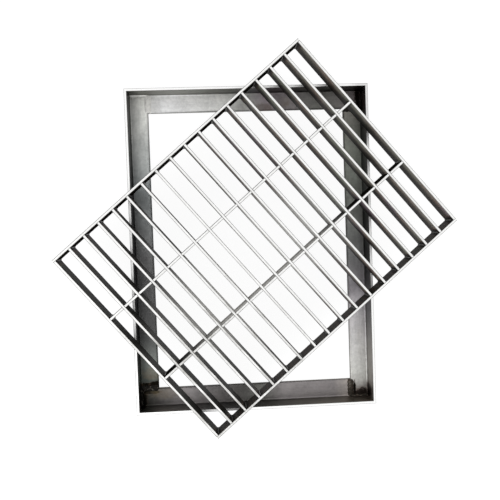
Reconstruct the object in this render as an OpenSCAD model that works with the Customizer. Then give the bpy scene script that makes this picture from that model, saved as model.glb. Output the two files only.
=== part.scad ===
// Drain grate: a welded flat-bar grate lying askew on its angle-steel frame.
// The frame stands on its underside at height zero, +Z up, its long side along Y.
// The middle of the grate is above the origin. All lengths are in millimetres.

/* [Grate] */
// Length of the grate, along its side bands
grate_l = 600; // [400:5:800]
// Width of the grate, along its bearing bars
grate_w = 445; // [300:5:500]
// Bars across the grate, its two end bars counted in
bar_count = 18; // [10:1:20]
// Bars that cross the bearing bars
cross_count = 2; // [1:1:4]
// Thickness of the flat bar
bar_t = 5; // [3:0.5:8]
// Depth of the flat bar, which stands on edge
bar_d = 45; // [30:1:60]
// Bevel along the long edges of each bar
bar_edge = 0.7; // [0.2:0.1:1.2]
// Clearance on each side of a bar in its half-lap slot
lap_gap = 0.2; // [0.1:0.05:0.5]

/* [Frame] */
// Thickness of the rolled angle
rail_t = 5; // [4:0.5:8]
// Width of the ledge, measured from the outside of the wall
ledge_w = 40; // [30:1:55]
// Radius in the inside corner of the angle
root_r = 3; // [1:0.5:5]
// Radius on the upper edge of the ledge's tip
toe_r = 3; // [0.5:0.5:3.5]
// Bevel along both edges of the rim
rim_edge = 0.6; // [0.2:0.1:1]
// Clearance all round the grate when it lies in its seat
seat_gap = 2; // [1:0.5:6]

/* [Welds] */
// Width of the bead over a ledge seam
bead_w = 13; // [6:0.5:18]
// Height of that bead above the ledge
bead_h = 1.4; // [0.6:0.1:3]
// Leg of the fillet along the foot of a wall
foot_leg = 5; // [3:0.5:8]
// Leg of the fillets at the ends of the bars
bar_leg = 2; // [1:0.5:4]
// Distance from the tops of the bars down to those fillets
weld_drop = 5; // [3:0.5:15]

/* [Pose] */
// Turn of the grate on the frame, from the X axis towards Y
turn = 40.2; // [15:0.1:60]
// Grate's centre from the frame's centre, along X
shift_x = 7.7; // [-20:0.1:20]
// Grate's centre from the frame's centre, along Y
shift_y = 18; // [-20:0.1:20]

/* [Hidden] */
$fn = 48;
// A cutter reaches this far past what it cuts
past = 1;

// Frame
rail_h = rail_t + bar_d;
frame_w = grate_w + 2 * (seat_gap + rail_t);
frame_l = grate_l + 2 * (seat_gap + rail_t);
CORNERS = ["front_left", "front_right", "back_right", "back_left"];
RAILS = ["front", "right", "back", "left"];

// Grate
bar_pitch = (grate_l - bar_t) / (bar_count - 1);
bearing_count = bar_count - 2;
inner_w = grate_w - 2 * bar_t;
inner_l = grate_l - 2 * bar_t;
cross_pitch = (grate_w - bar_t) / (cross_count + 1);
slot_w = bar_t + 2 * lap_gap;
lap_z = bar_d / 2;
fillet_h = bar_d - weld_drop - bar_edge;

SIDES = ["near", "far"];
ENDS = ["left", "right"];
STEEL = [0.55, 0.55, 0.56];
BAR = [0.62, 0.62, 0.63];
WELD = [0.28, 0.24, 0.2];

function two_digits(n) = n < 10 ? str("0", n) : str(n);
function bearing_name(n) = str("bearing_bar_", two_digits(n));
function cross_name(n) = str("cross_bar_", two_digits(n));
function bearing_x(n) = bar_t / 2 + n * bar_pitch - grate_l / 2;
function cross_y(n) = bar_t / 2 + n * cross_pitch - grate_w / 2;

// Section of the angle: u runs inwards from the outer face, v up from the underside
module angle_section() {
    difference() {
        polygon([
            [0, 0],
            [ledge_w, 0],
            [ledge_w, rail_t],
            [rail_t + root_r, rail_t],
            [rail_t, rail_t + root_r],
            [rail_t, rail_h - rim_edge],
            [rail_t - rim_edge, rail_h],
            [rim_edge, rail_h],
            [0, rail_h - rim_edge]
        ]);
        translate([rail_t + root_r, rail_t + root_r])
            circle(r = root_r);
        difference() {
            translate([ledge_w - toe_r, rail_t - toe_r])
                square(toe_r + past);
            translate([ledge_w - toe_r, rail_t - toe_r])
                circle(r = toe_r);
        }
    }
}

// Plan of a rail of length len: the wall is mitred at both ends, the ledge runs through to the
// next wall at the start and stops short of the next ledge at the end
module rail_plan(len) {
    polygon([
        [0, 0],
        [len, 0],
        [len - rail_t, rail_t],
        [len - ledge_w, rail_t],
        [len - ledge_w, ledge_w],
        [rail_t, ledge_w],
        [rail_t, rail_t]
    ]);
}

module rail(len) {
    intersection() {
        rotate([90, 0, 90])
            linear_extrude(len)
                angle_section();
        translate([0, 0, -past])
            linear_extrude(rail_h + 2 * past)
                rail_plan(len);
    }
}

// Puts a child drawn at a corner of the frame, with the through ledge along its X, at corner k
module at_corner(k) {
    sx = (k == 0 || k == 3) ? -1 : 1;
    sy = (k < 2) ? -1 : 1;
    translate([sx * frame_w / 2 - shift_x, sy * frame_l / 2 - shift_y, 0])
        rotate(90 * k)
            children();
}

function rail_len(k) = (k % 2 == 0) ? frame_w : frame_l;

module frame_rail(k) {
    color(STEEL)
        at_corner(k)
            rail(rail_len(k));
}

// Bead over the seam where the butting ledge meets the through ledge
module seam_bead() {
    bead_r = (pow(bead_w / 2, 2) + pow(bead_h, 2)) / (2 * bead_h);
    intersection() {
        translate([rail_t, ledge_w, rail_t + bead_h - bead_r])
            rotate([0, 90, 0])
                cylinder(r = bead_r, h = ledge_w - rail_t, $fn = 96);
        translate([rail_t, ledge_w - bead_w / 2, rail_t - toe_r])
            cube([ledge_w - rail_t, bead_w, toe_r + bead_h]);
    }
}

// Fillet along the foot of the butting wall, on the end of the through ledge
module foot_fillet() {
    translate([rail_t, rail_t, rail_t])
        rotate([-90, 0, 0])
            mirror([0, 1, 0])
                linear_extrude(ledge_w - rail_t)
                    fillet_section(foot_leg);
}

// Section of a fillet weld in the corner of two faces: a slightly bulging quarter
module fillet_section(leg) {
    bulge = 1.2;
    back = leg * (sqrt(2 * pow(bulge, 2) - 1) - 1) / 2;
    intersection() {
        square(leg);
        translate([-back, -back])
            circle(r = leg * bulge);
    }
}

module frame_weld(k) {
    color(WELD)
        at_corner(k)
            difference() {
                union() {
                    seam_bead();
                    foot_fillet();
                }
                rail(rail_len(k));
                translate([0, rail_len(k + 3), 0])
                    rotate(-90)
                        rail(rail_len(k + 3));
            }
}

// Puts a child drawn in the grate's own frame in its place on the rim
module on_rim() {
    translate([0, 0, rail_h])
        rotate(turn)
            children();
}

// Flat bar on edge, of length len along X, its underside at zero
module flat_bar(len) {
    rotate([90, 0, 90])
        linear_extrude(len, center = true)
            polygon([
                [bar_edge - bar_t / 2, 0],
                [bar_t / 2 - bar_edge, 0],
                [bar_t / 2, bar_edge],
                [bar_t / 2, bar_d - bar_edge],
                [bar_t / 2 - bar_edge, bar_d],
                [bar_edge - bar_t / 2, bar_d],
                [-bar_t / 2, bar_d - bar_edge],
                [-bar_t / 2, bar_edge]
            ]);
}

module side_band(side) {
    color(BAR)
        on_rim()
            translate([0, side * (grate_w - bar_t) / 2, 0])
                flat_bar(grate_l);
}

module end_bar(side) {
    color(BAR)
        on_rim()
            translate([side * (grate_l - bar_t) / 2, 0, 0])
                rotate(90)
                    flat_bar(inner_w);
}

// Bearing bar, slotted from below where the cross bars pass
module bearing_bar(n) {
    color(BAR)
        on_rim()
            difference() {
                translate([bearing_x(n), 0, 0])
                    rotate(90)
                        flat_bar(inner_w);
                for (c = [1 : cross_count])
                    translate([bearing_x(n) - bar_t, cross_y(c) - slot_w / 2, -past])
                        cube([2 * bar_t, slot_w, lap_z + past]);
            }
}

// Cross bar, slotted from above to take the bearing bars
module cross_bar(n) {
    color(BAR)
        on_rim()
            difference() {
                translate([0, cross_y(n), 0])
                    flat_bar(inner_l);
                for (b = [1 : bearing_count])
                    translate([bearing_x(b) - slot_w / 2, cross_y(n) - bar_t, lap_z])
                        cube([slot_w, 2 * bar_t, bar_d]);
            }
}

// Upright fillet in the corner at the origin, between faces that run along +X and +Y
module upright_fillet() {
    translate([0, 0, bar_edge])
        linear_extrude(fillet_h)
            fillet_section(bar_leg);
}

// Fillets at one end of every bar that butts against a side band
module band_welds(side) {
    color(WELD)
        on_rim()
            translate([0, side * inner_w / 2, 0])
                mirror([0, side > 0 ? 1 : 0, 0])
                    for (n = [0 : bar_count - 1]) {
                        if (n < bar_count - 1)
                            translate([bearing_x(n) + bar_t / 2, 0, 0])
                                upright_fillet();
                        if (n > 0)
                            translate([bearing_x(n) - bar_t / 2, 0, 0])
                                mirror([1, 0, 0])
                                    upright_fillet();
                    }
}

// Fillets where the cross bars butt against the end bars
module cross_bar_welds() {
    color(WELD)
        on_rim()
            for (c = [1 : cross_count], sx = [0, 1], sy = [0, 1])
                translate([(2 * sx - 1) * inner_l / 2, cross_y(c) + (sy - 0.5) * bar_t, 0])
                    mirror([sx, 0, 0])
                        mirror([0, 1 - sy, 0])
                            upright_fillet();
}

for (k = [0 : 3])
    frame_rail(k);
for (k = [0 : 3])
    frame_weld(k);
for (s = [0, 1])
    side_band(2 * s - 1);
for (e = [0, 1])
    end_bar(2 * e - 1);
for (n = [1 : bearing_count])
    bearing_bar(n);
for (n = [1 : cross_count])
    cross_bar(n);
for (s = [0, 1])
    band_welds(2 * s - 1);
cross_bar_welds();
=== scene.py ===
import math

import bpy
import numpy as np
from bpy.props import FloatProperty, FloatVectorProperty, IntProperty, PointerProperty
from mathutils import Matrix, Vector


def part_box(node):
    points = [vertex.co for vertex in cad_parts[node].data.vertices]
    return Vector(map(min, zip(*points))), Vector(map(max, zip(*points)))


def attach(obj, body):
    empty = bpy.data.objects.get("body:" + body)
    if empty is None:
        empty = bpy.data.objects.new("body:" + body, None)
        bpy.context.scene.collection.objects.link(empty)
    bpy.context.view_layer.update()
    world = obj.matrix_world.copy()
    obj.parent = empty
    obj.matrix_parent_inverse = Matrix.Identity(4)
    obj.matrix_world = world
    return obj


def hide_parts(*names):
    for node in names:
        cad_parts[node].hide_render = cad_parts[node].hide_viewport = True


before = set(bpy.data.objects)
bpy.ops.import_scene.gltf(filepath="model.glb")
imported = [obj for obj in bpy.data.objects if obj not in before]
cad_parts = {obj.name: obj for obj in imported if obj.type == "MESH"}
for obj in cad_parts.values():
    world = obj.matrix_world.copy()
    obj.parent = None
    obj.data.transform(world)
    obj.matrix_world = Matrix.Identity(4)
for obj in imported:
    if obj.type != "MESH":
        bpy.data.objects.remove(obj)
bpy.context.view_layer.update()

bl_info = {
    "name": "Drain Grate Finish",
    "version": (1, 0, 0),
    "blender": (4, 5, 0),
    "location": "View3D > Sidebar > Drain Grate",
    "description": "Steel finishes, weld beads and a studio for a flat-bar drain grate on its angle frame",
    "category": "Object",
}

RAILS = ("front", "right", "back", "left")
CORNERS = ("front_left", "front_right", "back_right", "back_left")

# The frame's outline and heights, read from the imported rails
RIM_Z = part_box("frame_rail_front")[1].z
FRAME_X0, FRAME_Y0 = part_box("frame_rail_left")[0].x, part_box("frame_rail_front")[0].y
FRAME_X1, FRAME_Y1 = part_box("frame_rail_right")[1].x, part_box("frame_rail_back")[1].y
LEDGE_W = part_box("frame_rail_front")[1].y - FRAME_Y0
GRATE_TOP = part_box("side_band_near")[1].z

# Radius of a fillet bead's arc, in legs: a little over one, so that the face bulges
BULGE = 1.2
# Depth below the ledge at which a seam bead closes
SEAM_DROP = 0.003
# Over this length a seam bead falls to the ledge's rounded tip, by this depth
TIP_LENGTH, TIP_DEPTH = 0.004, 0.0022
# A seam bead lies this much below its nominal height, to stay inside the solid
SEAM_SUNK = 0.00015

# Camera: place, and turns about X, Y and Z, fitted to the corners in the photograph
CAMERA_AT = (-0.088875, 0.032884, 1.331944)
CAMERA_TURNS = (-0.03868, -0.06101, -0.03464)
SENSOR_WIDTH = 36.0
# Lamp: place and side length
LAMP_AT = (-1.1, -1.3, 1.7)
LAMP_SIZE = 1.6
# Floor: half its side, and its depth below the frame's underside
FLOOR_HALF = 9.0
FLOOR_DEPTH = 0.0002


def steel(red, green, blue):
    """Linear colour of a display colour given from 0 to 255, by the display's power curve."""
    c = np.array([red, green, blue]) / 255.0
    c = np.where(c <= 0.04045, c / 12.92, ((c + 0.055) / 1.055) ** 2.4)
    return (float(c[0]), float(c[1]), float(c[2]), 1.0)


# Sizes and colours that a user would change

class DrainGrateSizes(bpy.types.PropertyGroup):
    grate_length: FloatProperty(
        name="Grate length", description="Length of the side bands", default=0.6, unit="LENGTH")
    grate_width: FloatProperty(
        name="Grate width", description="Width over both side bands", default=0.445, unit="LENGTH")
    bar_thickness: FloatProperty(
        name="Bar thickness", description="Thickness of the flat bar", default=0.005, unit="LENGTH")
    bar_count: IntProperty(
        name="Bars", description="Bars across the grate, end bars counted in", default=18, min=3)
    cross_count: IntProperty(
        name="Cross bars", description="Bars that cross the bearing bars", default=2, min=1)
    turn: FloatProperty(
        name="Turn", description="Turn of the grate on the frame", default=math.radians(40.2),
        subtype="ANGLE", unit="ROTATION")
    rail_thickness: FloatProperty(
        name="Angle thickness", description="Thickness of the rolled angle", default=0.005, unit="LENGTH")
    bar_leg: FloatProperty(
        name="Bar fillet leg", description="Leg of the fillets at the bars' ends", default=0.002,
        unit="LENGTH")
    foot_leg: FloatProperty(
        name="Foot fillet leg", description="Leg of the fillets at the foot of the walls", default=0.005,
        unit="LENGTH")
    seam_width: FloatProperty(
        name="Seam bead width", description="Width of the bead over a ledge seam", default=0.013,
        unit="LENGTH")
    seam_height: FloatProperty(
        name="Seam bead height", description="Height of that bead above the ledge", default=0.0014,
        unit="LENGTH")
    ripple_pitch: FloatProperty(
        name="Ripple pitch", description="Distance between two ripples of a bead", default=0.0018,
        unit="LENGTH")


class DrainGrateColours(bpy.types.PropertyGroup):
    ground: FloatVectorProperty(
        name="Ground steel", description="Ground tops of the bars and the rim", subtype="COLOR", size=4,
        min=0.0, max=1.0, default=steel(250, 250, 249))
    worn: FloatVectorProperty(
        name="Worn steel", description="Rubbed places on the tops of the bars", subtype="COLOR", size=4,
        min=0.0, max=1.0, default=steel(174, 173, 169))
    # Painted shade: the rim's colour round the frame's far right corner
    dull: FloatVectorProperty(
        name="Rim in painted shade", description="The rim round its far right corner", subtype="COLOR", size=4,
        min=0.0, max=1.0, default=steel(221, 220, 219))
    arris: FloatVectorProperty(
        name="Arris", description="Broken edges beside the ground tops", subtype="COLOR", size=4,
        min=0.0, max=1.0, default=steel(125, 124, 122))
    # Painted shade on the arris of far-facing sides, sides away from the lit side, and the rim round the far
    # right corner
    arris_shaded: FloatVectorProperty(
        name="Arris, painted shade", description="Broken edges in painted shade, on the far and lee sides",
        subtype="COLOR", size=4, min=0.0, max=1.0, default=steel(46, 45, 43))
    # Painted shade: the bar sides run from this dark foot colour up to the light top colour below
    side_foot_shade: FloatVectorProperty(
        name="Bar side, foot", description="Sides of the bars at the foot", subtype="COLOR", size=4,
        min=0.0, max=1.0, default=steel(27, 26, 23))
    side_top_light: FloatVectorProperty(
        name="Bar side, top", description="Sides of the bars below the top edge", subtype="COLOR", size=4,
        min=0.0, max=1.0, default=steel(152, 146, 140))
    # Painted shade on the sides that face away from the lit side
    side_shaded: FloatVectorProperty(
        name="Bar side, painted shade", description="Sides that face away from the paler sides", subtype="COLOR",
        size=4, min=0.0, max=1.0, default=steel(38, 37, 34))
    # Painted reflected light: a pale patch on the bar sides in the middle of the grate
    side_lit_middle: FloatVectorProperty(
        name="Bar side, painted light", description="Sides in the middle of the grate, with painted reflected light",
        subtype="COLOR", size=4, min=0.0, max=1.0, default=steel(218, 217, 214))
    outside: FloatVectorProperty(
        name="Outer faces", description="Mill finish on the outer faces of the grate and the frame",
        subtype="COLOR", size=4, min=0.0, max=1.0, default=steel(112, 111, 109))
    # Soot is scorched steel at the welds, and also painted shade on near-facing bar sides and on far-facing
    # sides in the middle of the grate
    soot: FloatVectorProperty(
        name="Soot", description="Scorched steel beside a weld", subtype="COLOR", size=4,
        min=0.0, max=1.0, default=steel(22, 19, 16))
    bead: FloatVectorProperty(
        name="Weld bead", description="Heat-darkened weld metal", subtype="COLOR", size=4,
        min=0.0, max=1.0, default=steel(40, 35, 28))


class DrainGrateStudio(bpy.types.PropertyGroup):
    floor: FloatVectorProperty(
        name="Floor", description="Colour of the floor", subtype="COLOR", size=4, min=0.0, max=1.0,
        default=(0.93, 0.93, 0.93, 1.0))
    sky: FloatProperty(
        name="Sky", description="Strength of the even light from all round", default=0.85, min=0.0)
    key: FloatProperty(
        name="Key lamp", description="Power of the large soft lamp", default=14.0, min=0.0, unit="POWER")
    lens: FloatProperty(
        name="Lens", description="Focal length in millimetres", default=48.841, min=10.0)


# Node trees

def add(tree, kind, inputs=(), **settings):
    """Adds a node, applies its settings, and fills its inputs from plain values or other sockets."""
    made = tree.nodes.new(kind)
    for key, value in settings.items():
        setattr(made, key, value)
    for key, value in dict(inputs).items():
        if isinstance(value, bpy.types.NodeSocket):
            tree.links.new(value, made.inputs[key])
        else:
            made.inputs[key].default_value = value
    return made


def maths(tree, operation, *terms, clamp=False):
    """One Math node over up to three terms."""
    return add(tree, "ShaderNodeMath", dict(enumerate(terms)), operation=operation,
               use_clamp=clamp).outputs[0]


def remap(tree, value, lo, hi, to_lo=0.0, to_hi=1.0, smooth=False):
    """Carries lo..hi over to to_lo..to_hi, clamped, along a line or a smooth step."""
    kind = "SMOOTHSTEP" if smooth else "LINEAR"
    return add(tree, "ShaderNodeMapRange", {0: value, 1: lo, 2: hi, 3: to_lo, 4: to_hi},
               interpolation_type=kind).outputs[0]


def mixed(tree, amount, first, second, mode="MIX"):
    """Mixes two colours by an amount."""
    return add(tree, "ShaderNodeMix", {0: amount, 6: first, 7: second}, data_type="RGBA",
               blend_type=mode, clamp_factor=True).outputs[2]


def ramp(tree, value, stops):
    """Colour ramp through (position, colour) stops. All positions are set before any colour, because
    the marks keep themselves in order of position."""
    made = add(tree, "ShaderNodeValToRGB", {0: value})
    marks = made.color_ramp.elements
    while len(marks) < len(stops):
        marks.new(0.5)
    for mark, (position, colour) in zip(marks, stops):
        mark.position = position
    for mark, (position, colour) in zip(marks, stops):
        mark.color = colour
    return made.outputs[0]


def noise(tree, vector, scale, detail=4.0, rough=0.55, distortion=0.0):
    """Fractal noise from 0 to 1."""
    return add(tree, "ShaderNodeTexNoise",
               {"Vector": vector, "Scale": scale, "Detail": detail, "Roughness": rough,
                "Distortion": distortion}).outputs[0]


def new_group(name, inputs, outputs):
    """Empty shader node group with named sockets; returns the tree, its input node and its output node."""
    tree = bpy.data.node_groups.new(name, "ShaderNodeTree")
    for label, kind, default in inputs:
        made = tree.interface.new_socket(label, in_out="INPUT", socket_type="NodeSocket" + kind)
        if default is not None:
            made.default_value = default
    for label, kind in outputs:
        tree.interface.new_socket(label, in_out="OUTPUT", socket_type="NodeSocket" + kind)
    return tree, tree.nodes.new("NodeGroupInput"), tree.nodes.new("NodeGroupOutput")


def close_group(tree, end, results):
    """Wires the named results to the group's output."""
    for label, made in results.items():
        tree.links.new(made, end.inputs[label])
    return tree


def group(name):
    """The shared node group of that name, built the first time it is asked for."""
    return bpy.data.node_groups.get(name) or BUILDERS[name]()


def use(tree, name, inputs=()):
    """Places a shared group in a material."""
    return add(tree, "ShaderNodeGroup", inputs, node_tree=group(name))


def seen_directly(tree):
    """One for a ray from the camera, off a mirror or through glass, and nothing for the others. Only
    the floor and the sky use it."""
    path = add(tree, "ShaderNodeLightPath")
    bounced = maths(tree, "MAXIMUM", path.outputs["Is Glossy Ray"], path.outputs["Is Transmission Ray"])
    return maths(tree, "MAXIMUM", path.outputs["Is Camera Ray"], bounced)


def build_grain():
    """Rolled and brushed steel: fine noise on a stretched vector, cloudy noise and a finer speckle on
    the plain place. Tone is one plus all three, each less a half and times its contrast. Relief is a
    mean of the streaks and of fine pits."""
    tree, start, end = new_group(
        "Rolled Grain",
        [("Place", "Vector", None), ("Streak Place", "Vector", None), ("Streaks", "Float", 0.3),
         ("Clouds", "Float", 0.3), ("Cloud Scale", "Float", 28.0), ("Speckle", "Float", 0.25)],
        [("Tone", "Float"), ("Relief", "Float"), ("Cloud", "Float")])
    streak = noise(tree, start.outputs["Streak Place"], 1.0, 5.0, 0.6)
    cloud = noise(tree, start.outputs["Place"], start.outputs["Cloud Scale"], 5.0, 0.62, 0.6)
    pits = noise(tree, start.outputs["Place"], 900.0, 2.0, 0.6)
    speckle = noise(tree, start.outputs["Place"], 170.0, 3.0, 0.7)
    a = maths(tree, "MULTIPLY", maths(tree, "SUBTRACT", streak, 0.5), start.outputs["Streaks"])
    b = maths(tree, "MULTIPLY", maths(tree, "SUBTRACT", cloud, 0.5), start.outputs["Clouds"])
    c = maths(tree, "MULTIPLY", maths(tree, "SUBTRACT", speckle, 0.5), start.outputs["Speckle"])
    tone = maths(tree, "ADD", maths(tree, "ADD", maths(tree, "ADD", a, b), c), 1.0)
    relief = maths(tree, "ADD", maths(tree, "MULTIPLY", streak, 0.6), maths(tree, "MULTIPLY", pits, 0.4))
    return close_group(tree, end, {"Tone": tone, "Relief": relief, "Cloud": cloud})


def build_facing():
    """Masks from the height of the surface normal: Up is a flat top, Arris a broken edge,
    Rise a smooth step from an upright face to a flat one."""
    tree, start, end = new_group("Facing", [], [("Up", "Float"), ("Arris", "Float"), ("Rise", "Float")])
    normal = add(tree, "ShaderNodeNewGeometry").outputs["Normal"]
    height = add(tree, "ShaderNodeSeparateXYZ", {0: normal}).outputs[2]
    up = remap(tree, height, 0.9, 0.99)
    arris = maths(tree, "SUBTRACT", remap(tree, height, 0.35, 0.6), up, clamp=True)
    rise = remap(tree, height, 0.1, 0.9, smooth=True)
    return close_group(tree, end, {"Up": up, "Arris": arris, "Rise": rise})


def build_spot():
    """Ragged soft spot: one minus the stretched distance from a centre, with noise added to the
    distance, through a smooth step."""
    tree, start, end = new_group(
        "Soft Spot",
        [("Place", "Vector", None), ("Centre", "Vector", (0.0, 0.0, 0.0)),
         ("Size", "Vector", (0.01, 0.01, 0.01)), ("Ragged", "Float", 0.5)],
        [("Mask", "Float")])
    away = add(tree, "ShaderNodeVectorMath", {0: start.outputs["Place"], 1: start.outputs["Centre"]},
               operation="SUBTRACT").outputs[0]
    away = add(tree, "ShaderNodeVectorMath", {0: away, 1: start.outputs["Size"]},
               operation="DIVIDE").outputs[0]
    far = add(tree, "ShaderNodeVectorMath", {0: away}, operation="LENGTH").outputs["Value"]
    rag = maths(tree, "MULTIPLY",
                maths(tree, "SUBTRACT", noise(tree, start.outputs["Place"], 160.0, 4.0, 0.6), 0.5),
                start.outputs["Ragged"])
    mask = remap(tree, maths(tree, "ADD", far, rag), 1.25, 0.55, smooth=True)
    return close_group(tree, end, {"Mask": mask})


def build_tint():
    """Temper colours: a heat value from 0 to 1, moved about by noise, read off a ramp that runs
    from bare through straw, brown and purple to soot. Amount is the heat through a smooth step."""
    tree, start, end = new_group(
        "Heat Tint", [("Place", "Vector", None), ("Heat", "Float", 0.0)],
        [("Color", "Color"), ("Amount", "Float")])
    shaken = maths(tree, "ADD", start.outputs["Heat"],
                   maths(tree, "MULTIPLY",
                         maths(tree, "SUBTRACT", noise(tree, start.outputs["Place"], 70.0, 4.0), 0.5), 0.35))
    colour = ramp(tree, shaken, [
        (0.0, steel(150, 146, 128)), (0.3, steel(124, 112, 90)), (0.5, steel(88, 68, 56)),
        (0.65, steel(64, 49, 47)), (0.8, steel(42, 33, 28)), (1.0, steel(16, 14, 10))])
    amount = remap(tree, shaken, 0.08, 0.75, smooth=True)
    return close_group(tree, end, {"Color": colour, "Amount": amount})


def build_joint_heat():
    """Heat round the welded ends of parallel bars, from the place in the grate's own directions.
    Away is the length of two shortfalls: from the face the bars butt against, and from the side of
    the nearest bar of the row. Heat is one minus Away over the reach, and nothing outside the face."""
    tree, start, end = new_group(
        "Joint Heat",
        [("Place", "Vector", None), ("Face", "Float", 0.2), ("Pitch", "Float", 0.035),
         ("Offset", "Float", 0.0), ("Half Bar", "Float", 0.0025), ("Reach", "Float", 0.016)],
        [("Heat", "Float")])
    split = add(tree, "ShaderNodeSeparateXYZ", {0: start.outputs["Place"]})
    row = maths(tree, "ADD", split.outputs[0], start.outputs["Offset"])
    side = maths(tree, "PINGPONG", row, maths(tree, "MULTIPLY", start.outputs["Pitch"], 0.5))
    side = maths(tree, "MAXIMUM", maths(tree, "SUBTRACT", side, start.outputs["Half Bar"]), 0.0)
    depth = maths(tree, "SUBTRACT", start.outputs["Face"], maths(tree, "ABSOLUTE", split.outputs[1]))
    inside = remap(tree, depth, -0.002, -0.0015)
    away = add(tree, "ShaderNodeCombineXYZ", {0: side, 1: maths(tree, "MAXIMUM", depth, 0.0)})
    away = add(tree, "ShaderNodeVectorMath", {0: away.outputs[0]}, operation="LENGTH").outputs["Value"]
    heat = remap(tree, away, 0.0, start.outputs["Reach"], 1.0, 0.0)
    return close_group(tree, end, {"Heat": maths(tree, "MULTIPLY", heat, inside)})


BUILDERS = {"Rolled Grain": build_grain, "Facing": build_facing, "Soft Spot": build_spot,
            "Heat Tint": build_tint, "Joint Heat": build_joint_heat}


def new_material(name):
    """Material with a Principled BSDF; returns the material, its tree, the shader and the object place."""
    made = bpy.data.materials.new(name)
    made.use_nodes = True
    tree = made.node_tree
    shader = tree.nodes["Principled BSDF"]
    place = add(tree, "ShaderNodeTexCoord").outputs["Object"]
    return made, tree, shader, place


def finish_steel(tree, shader, colour, tone, relief, metal, rough, depth):
    """Tones the colour by the grain and wires colour, metal, roughness and bump to the shader."""
    toned = add(tree, "ShaderNodeVectorMath", {0: colour, "Scale": tone}, operation="SCALE").outputs[0]
    tree.links.new(toned, shader.inputs["Base Color"])
    tree.links.new(metal, shader.inputs["Metallic"])
    tree.links.new(rough, shader.inputs["Roughness"])
    bump = add(tree, "ShaderNodeBump", {"Height": relief, "Distance": depth, "Strength": 0.6})
    tree.links.new(bump.outputs[0], shader.inputs["Normal"])


def streaked(tree, place, turn, scale):
    """Place turned about Z and stretched, so that noise on it runs in streaks."""
    turned = add(tree, "ShaderNodeMapping", {"Vector": place, "Rotation": (0.0, 0.0, turn)}).outputs[0]
    return add(tree, "ShaderNodeMapping", {"Vector": turned, "Scale": scale}).outputs[0]


# Finishes
# Painted reflection and shade along the four rails' ledges, and heat tints with painted shade and
# reflection along their walls, as (position, colour) from the rail's left or front end
LEDGE_REFLECTION_AND_SHADE = {
    "back": [(0.03, (190, 190, 185)), (0.15, (240, 240, 240)), (0.50, (225, 225, 220)),
             (0.58, (175, 165, 170)), (0.80, (130, 130, 125)), (0.96, (110, 105, 105))],
    "front": [(0.04, (45, 45, 40)), (0.22, (160, 155, 155)), (0.52, (115, 115, 110)),
              (0.62, (155, 150, 150)), (0.84, (145, 140, 140)), (0.97, (200, 190, 180))],
    "left": [(0.07, (45, 50, 45)), (0.13, (125, 130, 125)), (0.24, (110, 110, 110)),
             (0.48, (140, 140, 140)), (0.70, (165, 170, 170)), (0.97, (220, 220, 215))],
    "right": [(0.03, (155, 150, 145)), (0.08, (220, 220, 215)), (0.36, (195, 190, 195)),
              (0.46, (145, 145, 145)), (0.78, (165, 170, 160)), (0.95, (120, 115, 110))],
}
# Walls: heat tints, with painted shade and reflection along the rail
WALL_TINT_AND_SHADE = {
    "back": [(0.02, (60, 60, 50)), (0.22, (115, 115, 105)), (0.46, (80, 80, 75)), (0.53, (35, 30, 40)),
             (0.65, (40, 25, 20)), (0.80, (60, 60, 55)), (0.97, (40, 40, 35))],
    "front": [(0.02, (70, 70, 65)), (0.10, (120, 115, 110)), (0.34, (70, 70, 70)), (0.50, (60, 60, 55)),
              (0.80, (110, 105, 95)), (0.97, (95, 85, 75))],
    "left": [(0.02, (60, 60, 60)), (0.11, (60, 75, 65)), (0.18, (50, 55, 50)), (0.35, (55, 55, 60)),
             (0.75, (30, 30, 30)), (0.98, (30, 30, 25))],
    "right": [(0.03, (125, 120, 115)), (0.12, (135, 130, 125)), (0.28, (90, 90, 90)),
              (0.50, (45, 45, 45)), (0.66, (70, 70, 70)), (0.97, (65, 60, 60))],
}
# Shade across each ledge, at these shares of its width from the wall's outside
ACROSS = (0.13, 0.2, 0.4, 0.65, 0.88, 0.97)
SHADES = {"back": (0.78, 1.05, 0.98, 0.88, 0.95, 0.75), "front": (1.0, 1.15, 1.1, 0.88, 0.88, 0.8),
          "left": (0.4, 0.6, 0.74, 0.88, 1.05, 0.8), "right": (0.62, 0.88, 0.92, 0.88, 1.0, 0.75)}
# Scorch marks on each rail: centre and size in millimetres of the row frame, and heat
SCORCHES = {
    "back": [((206, 246, 5), (18, 16, 40), 1.1), ((214, 272, 8), (10, 26, 30), 1.2),
             ((26, 253, 5), (24, 13, 10), 0.42), ((67, 265, 5), (14, 14, 10), 0.3),
             ((-237, 270, 20), (6, 16, 30), 0.6)],
    "front": [((198, -315, 6), (18, 13, 8), 1.3), ((181, -306, 5), (3.5, 22, 9), 1.2),
              ((189, -304, 5), (2.5, 20, 9), 1.0), ((-232, -306, 8), (13, 22, 30), 1.4),
              ((-212, -293, 5), (20, 4.5, 8), 1.3), ((-186, -296, 5), (40, 16, 10), 0.3)],
    "left": [((-222, -279, 5), (20, 6, 12), 1.5), ((-202, -277, 5), (14, 7, 12), 1.5),
             ((-234, -292, 24), (10, 26, 30), 1.2), ((-206, -256, 5), (30, 16, 12), 0.35)],
    "right": [((204, -318, 6), (24, 17, 16), 0.8), ((220, -306, 14), (7, 22, 30), 0.9),
              ((190, -304, 5), (3, 17, 9), 1.1), ((212, 252, 10), (12, 26, 40), 0.8),
              ((204, -212, 5), (8, 46, 10), 0.2)],
}


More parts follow.
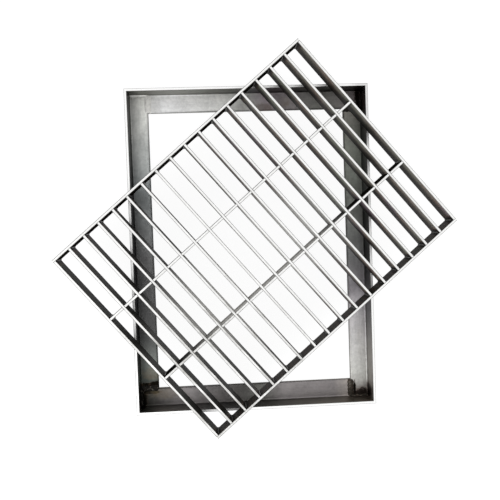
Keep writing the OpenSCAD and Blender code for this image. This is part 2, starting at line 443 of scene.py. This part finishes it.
def rail_finish(rail, colours):
    """Rolled angle: painted reflection and shade along the ledge, heat tints with painted shade and
    reflection along the wall, painted shade across the ledge, scorch marks at the corners, and a ground
    rim with a grey arris, both darkened with painted shade round the far right corner."""
    made, tree, shader, place = new_material("Rolled angle " + rail)
    split = add(tree, "ShaderNodeSeparateXYZ", {0: place})
    x, y, z = split.outputs
    level = rail in ("front", "back")
    along = remap(tree, x, FRAME_X0, FRAME_X1) if level else remap(tree, y, FRAME_Y0, FRAME_Y1)
    outer, value = {"front": (FRAME_Y0, y), "back": (FRAME_Y1, y), "left": (FRAME_X0, x),
                    "right": (FRAME_X1, x)}[rail]
    inwards = 1.0 if rail in ("front", "left") else -1.0
    across = remap(tree, value, outer, outer + inwards * LEDGE_W)
    turn = 0.0 if level else math.pi / 2
    streaks = streaked(tree, place, turn, (30.0, 420.0, 420.0))
    grain = use(tree, "Rolled Grain", {"Place": place, "Streak Place": streaks, "Streaks": 0.4,
                                       "Clouds": 0.75, "Cloud Scale": 30.0, "Speckle": 0.55})
    shaken = maths(tree, "ADD", along, maths(tree, "MULTIPLY", maths(
        tree, "SUBTRACT", grain.outputs["Cloud"], 0.5), 0.05))
    # Painted reflection and shade along the ledge; heat tints with painted shade and reflection along the
    # wall
    ledge = ramp(tree, shaken, [(p, steel(*c)) for p, c in LEDGE_REFLECTION_AND_SHADE[rail]])
    wall = ramp(tree, shaken, [(p, steel(*c)) for p, c in WALL_TINT_AND_SHADE[rail]])
    shade = ramp(tree, across, [(p, (v, v, v, 1.0)) for p, v in zip(ACROSS, SHADES[rail])])
    ledge = mixed(tree, 1.0, ledge, shade, "MULTIPLY")
    facing = use(tree, "Facing")
    inside = remap(tree, across, 0.02, 0.03)
    wall = mixed(tree, inside, colours.outside[:], wall)
    colour = mixed(tree, facing.outputs["Rise"], wall, ledge)
    scorched = 0.0
    for centre, size, heat in SCORCHES[rail]:
        spot = use(tree, "Soft Spot", {"Place": place, "Centre": [v / 1000 for v in centre],
                                       "Size": [v / 1000 for v in size], "Ragged": 0.9})
        tint = use(tree, "Heat Tint", {"Place": place,
                                       "Heat": maths(tree, "MULTIPLY", spot.outputs[0], heat)})
        hot = maths(tree, "MULTIPLY", spot.outputs[0], tint.outputs["Amount"])
        hot = maths(tree, "MULTIPLY", hot, inside)
        colour = mixed(tree, hot, colour, tint.outputs["Color"])
        scorched = maths(tree, "MAXIMUM", scorched, maths(tree, "MULTIPLY", hot, heat), clamp=True)
    high = remap(tree, z, RIM_Z - 0.0012, RIM_Z - 0.0007)
    # Painted shade: the rim and its arris darken round the frame's far right corner
    far_corner_shade = use(tree, "Soft Spot", {"Place": place, "Centre": (FRAME_X1, FRAME_Y1, RIM_Z),
                                     "Size": (0.03, 0.12, 0.1), "Ragged": 0.4}).outputs[0]
    colour = mixed(tree, high, colour, mixed(tree, far_corner_shade, colours.arris[:], colours.arris_shaded[:]))
    rim = maths(tree, "MULTIPLY", high, facing.outputs["Up"])
    colour = mixed(tree, rim, colour, mixed(tree, far_corner_shade, colours.ground[:], colours.dull[:]))
    bare = maths(tree, "MAXIMUM", rim, maths(tree, "MULTIPLY", facing.outputs["Up"], 0.5))
    metal = maths(tree, "MAXIMUM", remap(tree, bare, 0.0, 1.0, 0.55, 0.95), remap(tree, scorched, 0.5, 1.0))
    rough = maths(tree, "ADD", remap(tree, rim, 0.0, 1.0, 0.34, 0.32), maths(
        tree, "MULTIPLY", grain.outputs["Relief"], 0.14))
    tone = maths(tree, "ADD", maths(tree, "MULTIPLY", maths(
        tree, "SUBTRACT", grain.outputs["Tone"], 1.0), remap(tree, rim, 0.0, 1.0, 1.0, 0.12)), 1.0)
    finish_steel(tree, shader, colour, tone, grain.outputs["Relief"], metal, rough, 0.00018)
    return made


def bar_finish(name, turn, outline, thick, pitch, gloss, colours):
    """Flat bar on edge: dark sides with painted shade, darkest at the foot and lighter upwards, and more
    painted shade on the sides away from the lit side, on near-facing sides and on far-facing sides in the
    middle, with streaks, tint patches, heat round the welded ends and a painted pale patch of reflected
    light in the middle of the grate. The arris is grey, with painted shade on the far and lee sides. The
    top is ground and has fine scratches, and is worn round one corner. The faces outside the grate's
    outline have a plain mill finish."""
    made, tree, shader, place = new_material(name)
    z = add(tree, "ShaderNodeSeparateXYZ", {0: place}).outputs[2]
    streaks = streaked(tree, place, -turn, (500.0, 500.0, 45.0))
    grain = use(tree, "Rolled Grain", {"Place": place, "Streak Place": streaks, "Streaks": 0.5,
                                       "Clouds": 0.5, "Cloud Scale": 34.0})
    facing = use(tree, "Facing")
    # Painted shade: the sides darken from the top edge down to the foot, where less light falls between the
    # bars
    rise = remap(tree, maths(tree, "ADD", z, maths(tree, "MULTIPLY", maths(
        tree, "SUBTRACT", grain.outputs["Cloud"], 0.5), 0.02)), RIM_Z, GRATE_TOP, smooth=True)
    side = ramp(tree, rise, [(0.0, colours.side_foot_shade[:]), (0.35, steel(62, 58, 54)),
                             (0.65, steel(100, 94, 90)), (1.0, colours.side_top_light[:])])
    # Painted shade: sides facing away from the lit side take the shaded colour
    normal = add(tree, "ShaderNodeNewGeometry").outputs["Normal"]
    lit_facing = add(tree, "ShaderNodeVectorMath", {0: normal, 1: (-math.cos(turn), -math.sin(turn), 0.0)},
               operation="DOT_PRODUCT").outputs["Value"]
    side = mixed(tree, remap(tree, lit_facing, 0.2, 0.9), colours.side_shaded[:], side)
    turned = add(tree, "ShaderNodeMapping", {"Vector": place, "Rotation": (0.0, 0.0, -turn)}).outputs[0]
    middle = remap(tree, maths(tree, "ABSOLUTE", add(
        tree, "ShaderNodeSeparateXYZ", {0: turned}).outputs[1]), 0.1, 0.12, 0.45, 0.0)
    # Painted shade: near-facing sides, and far-facing sides in the middle of the grate, are darkened
    nearwards = add(tree, "ShaderNodeVectorMath", {0: normal, 1: (math.sin(turn), -math.cos(turn), 0.0)},
                    operation="DOT_PRODUCT").outputs["Value"]
    shaded_faces = maths(tree, "MAXIMUM", remap(tree, nearwards, 0.2, 0.9, 0.0, 0.8), maths(
        tree, "MULTIPLY", remap(tree, nearwards, -0.2, -0.9), middle))
    joints = use(tree, "Joint Heat", {"Place": turned, "Face": outline[1] - thick, "Pitch": pitch,
                                      "Offset": outline[0] - thick / 2, "Half Bar": thick / 2})
    tint = use(tree, "Heat Tint", {"Place": place, "Heat": maths(
        tree, "MULTIPLY", joints.outputs[0], 1.25)})
    faint = remap(tree, maths(tree, "ABSOLUTE", nearwards), 0.2, 0.9, 1.0, 0.4)
    side = mixed(tree, maths(tree, "MULTIPLY", tint.outputs["Amount"], faint), side, tint.outputs["Color"])
    # Painted shade in the soot colour
    side = mixed(tree, shaded_faces, side, colours.soot[:])
    warm = noise(tree, place, 9.0, 3.0, 0.5, 0.4)
    warm = ramp(tree, warm, [(0.36, steel(226, 240, 226)), (0.5, steel(238, 236, 230)),
                             (0.6, steel(242, 224, 214)), (0.7, steel(226, 214, 234))])
    side = mixed(tree, 1.0, side, warm, "MULTIPLY")
    # Painted reflected light: a pale patch on the sides in the middle of the grate
    lit_middle = use(tree, "Soft Spot", {"Place": turned, "Centre": (-0.045, -0.035, 0.0),
                                    "Size": (0.19, 0.12, 0.4), "Ragged": 0.35}).outputs[0]
    side = mixed(tree, lit_middle, side, colours.side_lit_middle[:])
    reach = add(tree, "ShaderNodeVectorMath", {0: add(
        tree, "ShaderNodeVectorMath", {0: turned}, operation="ABSOLUTE").outputs[0], 1: outline},
        operation="SUBTRACT").outputs[0]
    reach = add(tree, "ShaderNodeSeparateXYZ", {0: reach})
    outside = remap(tree, maths(tree, "MAXIMUM", reach.outputs[0], reach.outputs[1]), -0.0006, -0.0002)
    side = mixed(tree, outside, side, colours.outside[:])
    spot = use(tree, "Soft Spot", {"Place": place, "Centre": (-0.1, -0.26, GRATE_TOP),
                                   "Size": (0.2, 0.2, 0.2), "Ragged": 0.5}).outputs[0]
    scratches = noise(tree, streaked(tree, place, -turn, (900.0, 60.0, 60.0)), 1.0, 4.0)
    rubbed = maths(tree, "ADD", remap(tree, noise(tree, place, 24.0, 3.0), 0.35, 0.65, 0.0, 0.6), remap(
        tree, scratches, 0.4, 0.65, 0.0, 0.5))
    worn = maths(tree, "MULTIPLY", rubbed, maths(tree, "ADD", maths(tree, "MULTIPLY", spot, 0.75), 0.25))
    top = mixed(tree, worn, colours.ground[:], colours.worn[:])
    # Painted shade: the arris on sides away from the lit side and on far-facing sides
    shaded_arris = maths(tree, "MAXIMUM", remap(tree, lit_facing, 0.3, -0.3), remap(tree, nearwards, -0.2, -0.5))
    arris = mixed(tree, maths(tree, "MAXIMUM", shaded_arris, spot), colours.arris[:], colours.arris_shaded[:])
    colour = mixed(tree, facing.outputs["Arris"], side, arris)
    colour = mixed(tree, facing.outputs["Up"], colour, top)
    shader.inputs["Specular IOR Level"].default_value = gloss
    metal = maths(tree, "MAXIMUM", remap(tree, facing.outputs["Up"], 0.0, 1.0, 0.02, 0.95), maths(
        tree, "MULTIPLY", outside, 0.5))
    rough = maths(tree, "ADD", remap(tree, facing.outputs["Up"], 0.0, 1.0, 0.5, 0.3), maths(
        tree, "MULTIPLY", grain.outputs["Relief"], 0.14))
    tone = maths(tree, "ADD", maths(tree, "MULTIPLY", maths(
        tree, "SUBTRACT", grain.outputs["Tone"], 1.0), remap(
            tree, facing.outputs["Up"], 0.0, 1.0, 1.0, 0.15)), 1.0)
    finish_steel(tree, shader, colour, tone, grain.outputs["Relief"], metal, rough, 0.00015)
    return made


def bead_finish(name, base, brown_part, crest_highlight, glint):
    """Weld metal: one base colour that turns brown in patches, with a painted highlight on the ripple crests
    and painted glints in spots along them.
    """
    made, tree, shader, place = new_material(name)
    grain = use(tree, "Rolled Grain", {"Place": place, "Streak Place": streaked(
        tree, place, 0.0, (500.0, 500.0, 500.0)), "Streaks": 0.7, "Clouds": 0.6, "Cloud Scale": 120.0})
    crest = add(tree, "ShaderNodeAttribute", attribute_name="crest").outputs["Fac"]
    # Painted glints: light spots on the ripple crests
    bare = maths(tree, "MULTIPLY", remap(tree, noise(tree, place, 240.0, 3.0), 0.55, 0.64, 0.0, glint), crest)
    shader.inputs["Specular IOR Level"].default_value = 0.25
    brown = remap(tree, grain.outputs["Cloud"], 0.45, 0.65, 0.0, brown_part)
    colour = mixed(tree, brown, base, steel(74, 56, 44))
    # Painted highlight: the crests and glints take a pale colour
    colour = mixed(tree, maths(tree, "MAXIMUM", bare, maths(
        tree, "MULTIPLY", crest, crest_highlight)), colour, steel(168, 162, 152))
    metal = remap(tree, crest, 0.0, 1.0, 0.45, 0.85)
    rough = remap(tree, grain.outputs["Relief"], 0.0, 1.0, 0.34, 0.6)
    finish_steel(tree, shader, colour, grain.outputs["Tone"], grain.outputs["Relief"], metal, rough, 0.0003)
    return made


# Weld beads

def mesh_object(name, points, faces, crest, material):
    """Object at the origin from points, quads and a crest value for each point."""
    mesh = bpy.data.meshes.new(name)
    mesh.from_pydata(points.tolist(), [], faces.tolist())
    mesh.update()
    layer = mesh.attributes.new("crest", "FLOAT", "POINT")
    layer.data.foreach_set("value", crest.astype(np.float32).ravel())
    mesh.polygons.foreach_set("use_smooth", np.ones(len(mesh.polygons), bool))
    made = bpy.data.objects.new(name, mesh)
    bpy.context.scene.collection.objects.link(made)
    mesh.materials.append(material)
    return made


def tube_faces(rings, count):
    """Quads round the wall of a tube of rings, each a closed loop of count points."""
    i, j = np.meshgrid(np.arange(rings - 1), np.arange(count), indexing="ij")
    k = (j + 1) % count
    low, high = i * count, (i + 1) * count
    return np.stack([low + j, low + k, high + k, high + j], -1).reshape(-1, 4)


def fillet_bead(length, leg, pitch, phase, taper=(0.5, 0.5), rings=44, arc=9):
    """Rippled fillet along +Z in the corner of two faces along +X and +Y.
    Each ring is the corner, pushed a little into the steel, and an arc of radius BULGE legs that bulges
    out of the corner. The arc's distance is scaled by a ripple, a cosine of the height that lags
    towards the arc's middle, so that ripples are crescents, and by a slow sine, the drift. Rings
    shrink almost to a point at both ends as a quarter ellipse over taper legs."""
    # In legs: how far the ripples lag, and how far the corner is pushed into the steel
    lag, push = 0.45, 0.12
    # As shares of the arc: what is left at the very ends, and the ripple's and the drift's depth
    blunt, ripple, drift = 0.04, 0.09, 0.07
    z = np.linspace(0.0, 1.0, rings) * length
    near = np.minimum(z / (leg * taper[0] + 1e-9), (length - z) / (leg * taper[1] + 1e-9))
    size = np.sqrt(1.0 - (1.0 - np.clip(near, 0.0, 1.0)) ** 2) * (1.0 - blunt) + blunt
    back = leg * (math.sqrt(2 * BULGE ** 2 - 1) - 1) / 2
    a0 = math.asin(back / (BULGE * leg))
    a = np.linspace(a0, math.pi / 2 - a0, arc)
    middle = np.sin((a - a0) / (math.pi / 2 - 2 * a0) * math.pi)
    wave = 0.5 + 0.5 * np.cos(2 * math.pi * (z[:, None] - lag * leg * middle[None]) / pitch + phase)
    wander = 1.0 + drift * np.sin(z * 2 * math.pi / (leg * 3.7) + phase * 3.0)
    radius = (1.0 - ripple * (1.0 - wave) * middle[None]) * (size * wander)[:, None]
    x = (BULGE * leg * np.cos(a) - back)[None] * radius
    y = (BULGE * leg * np.sin(a) - back)[None] * radius
    sunk = np.full((rings, 1), -push * leg)
    x = np.concatenate([x, sunk], 1)
    y = np.concatenate([y, sunk], 1)
    points = np.stack([x, y, np.broadcast_to(z[:, None], x.shape)], -1)
    crest = np.concatenate([wave ** 3 * middle[None], np.zeros((rings, 1))], 1)
    return points.reshape(-1, 3), crest.ravel(), rings, arc + 1


def seam_bead(length, width, height, pitch, phase, rings=60, arc=16):
    """Rippled bead along +X over a seam, its centre line on the ledge's surface at zero height.
    Across, the height is a flattened arch, one minus the distance squared. Along, it carries ripples, a
    cosine that lags at the sides, and falls to the ledge's rounded tip as a quarter ellipse.
    The width wanders by a sum of two sines. The ring closes below the surface."""
    # The ripple's share of the height, and how much the bead narrows as it falls
    ripple, narrow = 0.28, 0.25
    x = np.linspace(0.0, length, rings)
    s = np.linspace(-1.0, 1.0, arc)
    half = width / 2 * (1.0 + 0.08 * np.sin(x * 900.0 + phase) + 0.05 * np.sin(x * 2300.0 + 2.0 * phase))
    wave = 0.5 + 0.5 * np.cos(2 * math.pi * (x[:, None] + 0.9 * width / 2 * s[None] ** 2) / pitch + phase)
    arch = 1.0 - s[None] ** 2
    z = height * arch * (1.0 - ripple + ripple * wave)
    nose = np.clip((length - x) / TIP_LENGTH, 0.0, 1.0)
    fall = (1.0 - np.sqrt(1.0 - (1.0 - nose) ** 2))[:, None]
    z = z - fall * (z + TIP_DEPTH) - SEAM_SUNK
    y = half[:, None] * s[None] * (1.0 - narrow * fall)
    low = np.full((rings, 1), -SEAM_DROP)
    y = np.concatenate([y, y[:, -1:] * 0.9, y[:, :1] * 0.9], 1)
    z = np.concatenate([z, low, low], 1)
    points = np.stack([np.broadcast_to(x[:, None], y.shape), y, z], -1)
    crest = np.concatenate([wave ** 3 * arch, np.zeros((rings, 2))], 1)
    return points.reshape(-1, 3), crest.ravel(), rings, arc + 2


def ended(faces, rings, count):
    """Tube faces closed at both ends by a fan of quads from each end ring's first point. The fan
    comes out even because count is an even number."""
    j = np.arange(1, count - 2, 2)
    first = np.stack([np.zeros_like(j), j + 2, j + 1, j], -1)
    base = (rings - 1) * count
    last = np.stack([np.zeros_like(j) + base, base + j, base + j + 1, base + j + 2], -1)
    return np.concatenate([faces, first, last])


def placed(points, matrix):
    """Points carried by a 4 by 4 matrix."""
    m = np.array(matrix)
    return points @ m[:3, :3].T + m[:3, 3]


def joined(parts):
    """One set of points, faces and crests from several, faces turned over where a part is mirrored."""
    points, faces, crests, total = [], [], [], 0
    for p, f, c, mirrored in parts:
        points.append(p)
        faces.append((f[:, ::-1] if mirrored else f) + total)
        crests.append(c)
        total += len(p)
    return np.concatenate(points), np.concatenate(faces), np.concatenate(crests)


# Operators

def dress(node, material):
    """Gives a CAD node its material."""
    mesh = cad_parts[node].data
    mesh.materials.clear()
    mesh.materials.append(material)


class DRAINGRATE_OT_rails(bpy.types.Operator):
    """Finish the four rails of the frame"""

    bl_idname = "draingrate.rails"
    bl_label = "Frame rails"

    def execute(self, context):
        colours = context.scene.drain_grate_colours
        for rail in RAILS:
            dress("frame_rail_" + rail, rail_finish(rail, colours))
        return {"FINISHED"}


class DRAINGRATE_OT_bars(bpy.types.Operator):
    """Finish the bands, end bars, bearing bars and cross bars"""

    bl_idname = "draingrate.bars"
    bl_label = "Grate bars"

    def execute(self, context):
        colours = context.scene.drain_grate_colours
        sizes = context.scene.drain_grate_sizes
        outline = (sizes.grate_length / 2, sizes.grate_width / 2, 1.0)
        bars = sorted(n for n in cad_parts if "_bar_" in n or "_band_" in n)
        if not bars:
            raise RuntimeError("the packed model has no bars")
        pitch = (sizes.grate_length - sizes.bar_thickness) / (sizes.bar_count - 1)
        shape = (sizes.turn, outline, sizes.bar_thickness, pitch)
        satin = bar_finish("Satin bar", *shape, 0.05, colours)
        dull = bar_finish("Dull bar", *shape, 0.0, colours)
        for node in bars:
            if node != "cross_bar_welds":
                dress(node, dull if node.startswith("cross_bar") or node == "side_band_far" else satin)
        return {"FINISHED"}


class DRAINGRATE_OT_frame_welds(bpy.types.Operator):
    """Lay the rippled beads at the frame's corners"""

    bl_idname = "draingrate.frame_welds"
    bl_label = "Frame welds"

    def execute(self, context):
        sizes = context.scene.drain_grate_sizes
        t = sizes.rail_thickness
        corners = [(FRAME_X0, FRAME_Y0), (FRAME_X1, FRAME_Y0), (FRAME_X1, FRAME_Y1), (FRAME_X0, FRAME_Y1)]
        colours = context.scene.drain_grate_colours
        # Each look: base colour, brown share, painted highlight on the ripple crests, painted glints
        looks = [(steel(14, 13, 9), 0.15, 0.04, 1.0), (colours.bead[:], 0.6, 0.25, 1.0),
                 (colours.soot[:], 0.2, 0.1, 0.5), (steel(232, 231, 227), 0.0, 0.0, 0.0)]
        for k, (corner, (x, y)) in enumerate(zip(CORNERS, corners)):
            at = Matrix.Translation((x, y, 0.0)) @ Matrix.Rotation(k * math.pi / 2, 4, "Z")
            p, c, rings, count = seam_bead(LEDGE_W - t, sizes.seam_width, sizes.seam_height,
                                           sizes.ripple_pitch, 1.3 * k)
            seam = placed(p, at @ Matrix.Translation((t, LEDGE_W, t)))
            f = ended(tube_faces(rings, count), rings, count)
            p2, c2, rings2, count2 = fillet_bead(LEDGE_W - t + 0.001, sizes.foot_leg, sizes.ripple_pitch,
                                                 0.7 * k, (0.01, 0.8))
            # Stands the bead's own Z along the wall, its X away from the wall and its Y upwards
            lay = Matrix(((1, 0, 0, t), (0, 0, 1, t), (0, 1, 0, t), (0, 0, 0, 1)))
            foot = placed(p2, at @ lay)
            f2 = ended(tube_faces(rings2, count2), rings2, count2)
            points, faces, crest = joined([(seam, f, c, True), (foot, f2, c2, True)])
            made = bead_finish("Frame weld " + corner.replace("_", " "), *looks[k])
            bead = mesh_object("weld_bead_" + corner, points, faces, crest, made)
            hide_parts("frame_weld_" + corner)
            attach(bead, "root")
        return {"FINISHED"}


class DRAINGRATE_OT_grate_welds(bpy.types.Operator):
    """Lay the rippled upright beads at the ends of the bars"""

    bl_idname = "draingrate.grate_welds"
    bl_label = "Grate welds"

    def execute(self, context):
        sizes = context.scene.drain_grate_sizes
        t, n = sizes.bar_thickness, sizes.bar_count
        pitch = (sizes.grate_length - t) / (n - 1)
        inner_l, inner_w = sizes.grate_length - 2 * t, sizes.grate_width - 2 * t
        low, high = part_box("band_welds_near")[0].z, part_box("band_welds_near")[1].z
        # The last two numbers are the painted highlight on the crests and the painted glints
        made = bead_finish("Grate weld", context.scene.drain_grate_colours.soot[:], 0.3, 0.05, 0.3)
        spin = Matrix.Rotation(sizes.turn, 4, "Z")

        def beads(places):
            parts = []
            for number, (u, v, mx, my) in enumerate(places):
                p, c, rings, count = fillet_bead(high - low, sizes.bar_leg, sizes.ripple_pitch,
                                                 number * 1.7, (0.5, 0.8), 36, 7)
                at = spin @ Matrix.Translation((u, v, low)) @ Matrix.Diagonal((mx, my, 1, 1))
                f = ended(tube_faces(rings, count), rings, count)
                parts.append((placed(p, at), f, c, mx * my < 0))
            return joined(parts)

        centres = [t / 2 + i * pitch - sizes.grate_length / 2 for i in range(n)]
        for name, side in (("near", -1), ("far", 1)):
            places = [(c + t / 2, side * inner_w / 2, 1, -side) for c in centres[:-1]]
            places += [(c - t / 2, side * inner_w / 2, -1, -side) for c in centres[1:]]
            piece = mesh_object("bar_end_beads_" + name, *beads(places), made)
            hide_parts("band_welds_" + name)
            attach(piece, "root")
        step = (sizes.grate_width - t) / (sizes.cross_count + 1)
        rows = [t / 2 + (i + 1) * step - sizes.grate_width / 2 for i in range(sizes.cross_count)]
        places = [(-e * inner_l / 2, v + s * t / 2, e, s) for v in rows for e in (1, -1) for s in (1, -1)]
        piece = mesh_object("cross_bar_end_beads", *beads(places), made)
        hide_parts("cross_bar_welds")
        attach(piece, "root")
        return {"FINISHED"}


class DRAINGRATE_OT_studio(bpy.types.Operator):
    """Lay the floor and set the lamps, the sky and the camera"""

    bl_idname = "draingrate.studio"
    bl_label = "Studio"

    def execute(self, context):
        studio = context.scene.drain_grate_studio
        scene = context.scene
        mesh = bpy.data.meshes.new("studio_floor")
        mesh.from_pydata([(x * FLOOR_HALF, y * FLOOR_HALF, -FLOOR_DEPTH) for x, y in
                          ((-1, -1), (1, -1), (1, 1), (-1, 1))], [], [(0, 1, 2, 3)])
        floor = bpy.data.objects.new("studio_floor", mesh)
        scene.collection.objects.link(floor)
        made = bpy.data.materials.new("White floor")
        made.use_nodes = True
        tree = made.node_tree
        tree.nodes.clear()
        matt = add(tree, "ShaderNodeBsdfDiffuse", {"Color": (0.14, 0.14, 0.14, 1.0)})
        glow = add(tree, "ShaderNodeEmission", {"Color": studio.floor[:], "Strength": seen_directly(tree)})
        both = add(tree, "ShaderNodeAddShader", {0: matt.outputs[0], 1: glow.outputs[0]})
        add(tree, "ShaderNodeOutputMaterial", {"Surface": both.outputs[0]})
        mesh.materials.append(made)

        world = bpy.data.worlds.new("Studio sky")
        scene.world = world
        world.use_nodes = True
        tree = world.node_tree
        tree.nodes.clear()
        strength = remap(tree, seen_directly(tree), 0.0, 1.0, studio.sky, 1.0)
        sky = add(tree, "ShaderNodeBackground", {"Color": (1, 1, 1, 1), "Strength": strength})
        add(tree, "ShaderNodeOutputWorld", {"Surface": sky.outputs[0]})

        lamp = bpy.data.lights.new("Key lamp", "AREA")
        lamp.energy = studio.key
        lamp.size = LAMP_SIZE
        key = bpy.data.objects.new("key_lamp", lamp)
        scene.collection.objects.link(key)
        key.location = LAMP_AT
        key.rotation_mode = "QUATERNION"
        key.rotation_quaternion = (-key.location).to_track_quat("-Z", "Y")

        lens = bpy.data.cameras.new("Camera")
        lens.sensor_width = SENSOR_WIDTH
        lens.lens = studio.lens
        camera = bpy.data.objects.new("camera", lens)
        scene.collection.objects.link(camera)
        about_x, about_y, about_z = (Matrix.Rotation(v, 4, axis) for v, axis in zip(CAMERA_TURNS, "XYZ"))
        camera.matrix_world = Matrix.Translation(CAMERA_AT) @ about_z @ about_y @ about_x
        scene.camera = camera
        scene.view_settings.view_transform = "Standard"
        return {"FINISHED"}


class DRAINGRATE_PT_panel(bpy.types.Panel):
    """Sizes, colours and steps of the drain grate"""

    bl_idname = "DRAINGRATE_PT_panel"
    bl_label = "Drain Grate"
    bl_space_type = "VIEW_3D"
    bl_region_type = "UI"
    bl_category = "Drain Grate"

    def draw(self, context):
        layout = self.layout
        for title, store in (("Sizes", "drain_grate_sizes"), ("Colours", "drain_grate_colours"),
                             ("Studio", "drain_grate_studio")):
            box = layout.box()
            box.label(text=title)
            group_of = getattr(context.scene, store)
            for key in group_of.__annotations__:
                box.prop(group_of, key)
        for step in STEPS:
            layout.operator(step.bl_idname)


STEPS = (DRAINGRATE_OT_rails, DRAINGRATE_OT_bars, DRAINGRATE_OT_frame_welds,
         DRAINGRATE_OT_grate_welds, DRAINGRATE_OT_studio)
CLASSES = (DrainGrateSizes, DrainGrateColours, DrainGrateStudio, *STEPS, DRAINGRATE_PT_panel)


def register():
    for made in CLASSES:
        bpy.utils.register_class(made)
    bpy.types.Scene.drain_grate_sizes = PointerProperty(type=DrainGrateSizes)
    bpy.types.Scene.drain_grate_colours = PointerProperty(type=DrainGrateColours)
    bpy.types.Scene.drain_grate_studio = PointerProperty(type=DrainGrateStudio)


def unregister():
    del bpy.types.Scene.drain_grate_studio
    del bpy.types.Scene.drain_grate_colours
    del bpy.types.Scene.drain_grate_sizes
    for made in reversed(CLASSES):
        bpy.utils.unregister_class(made)


def main():
    register()
    bpy.ops.draingrate.rails()
    bpy.ops.draingrate.bars()
    bpy.ops.draingrate.frame_welds()
    bpy.ops.draingrate.grate_welds()
    bpy.ops.draingrate.studio()


if __name__ == "__main__":
    main()
